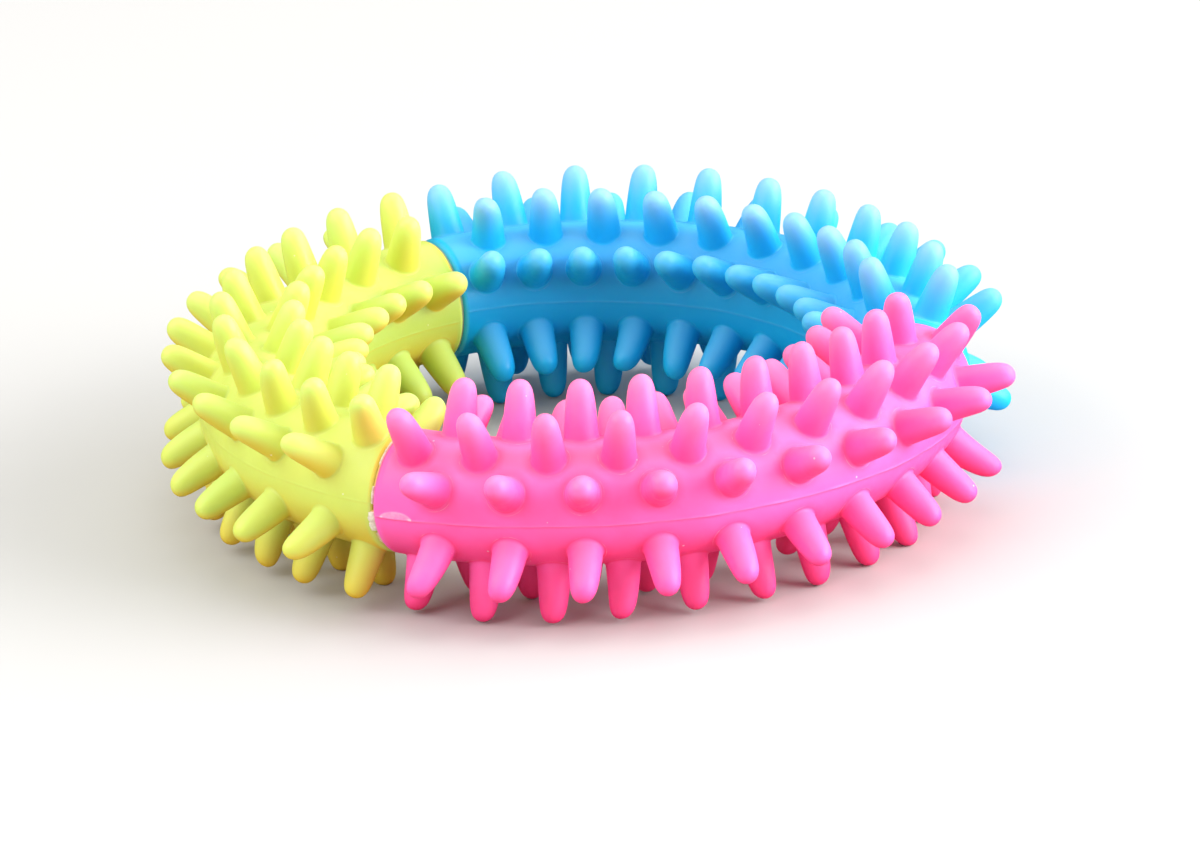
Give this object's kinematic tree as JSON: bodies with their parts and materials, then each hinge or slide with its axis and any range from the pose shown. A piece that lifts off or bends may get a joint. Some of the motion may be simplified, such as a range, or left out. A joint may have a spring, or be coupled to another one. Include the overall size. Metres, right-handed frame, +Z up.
{
  "type": "spiked pet chew ring",
  "caption": "Round chew-and-fetch ring for a pet: soft rubber arcs in different colours, plugged and glued end to end, covered all round in rows of blunt rubber spikes.",
  "frame": {"origin": "on the resting plane, straight under the centre of the ring", "axes": "+Z up along the ring's axis; -X through the middle of the yellow arc, so the pink and blue arcs meet on +X"},
  "size_m": [0.1214, 0.121, 0.0324],
  "materials": {
    "pink_rubber": "satin moulded soft rubber, hot pink, slightly translucent",
    "blue_rubber": "satin moulded soft rubber, sky blue, slightly translucent",
    "yellow_rubber": "satin moulded soft rubber, lime yellow, slightly translucent",
    "dried_glue": "dried adhesive, cloudy off-white"
  },
  "bodies": {
    "root": {"pink_arc": "pink_rubber", "blue_arc": "blue_rubber", "yellow_arc": "yellow_rubber", "glue_seam_pink_blue": "dried_glue", "glue_seam_blue_yellow": "dried_glue", "glue_seam_yellow_pink": "dried_glue"}
  },
  "joints": []
}
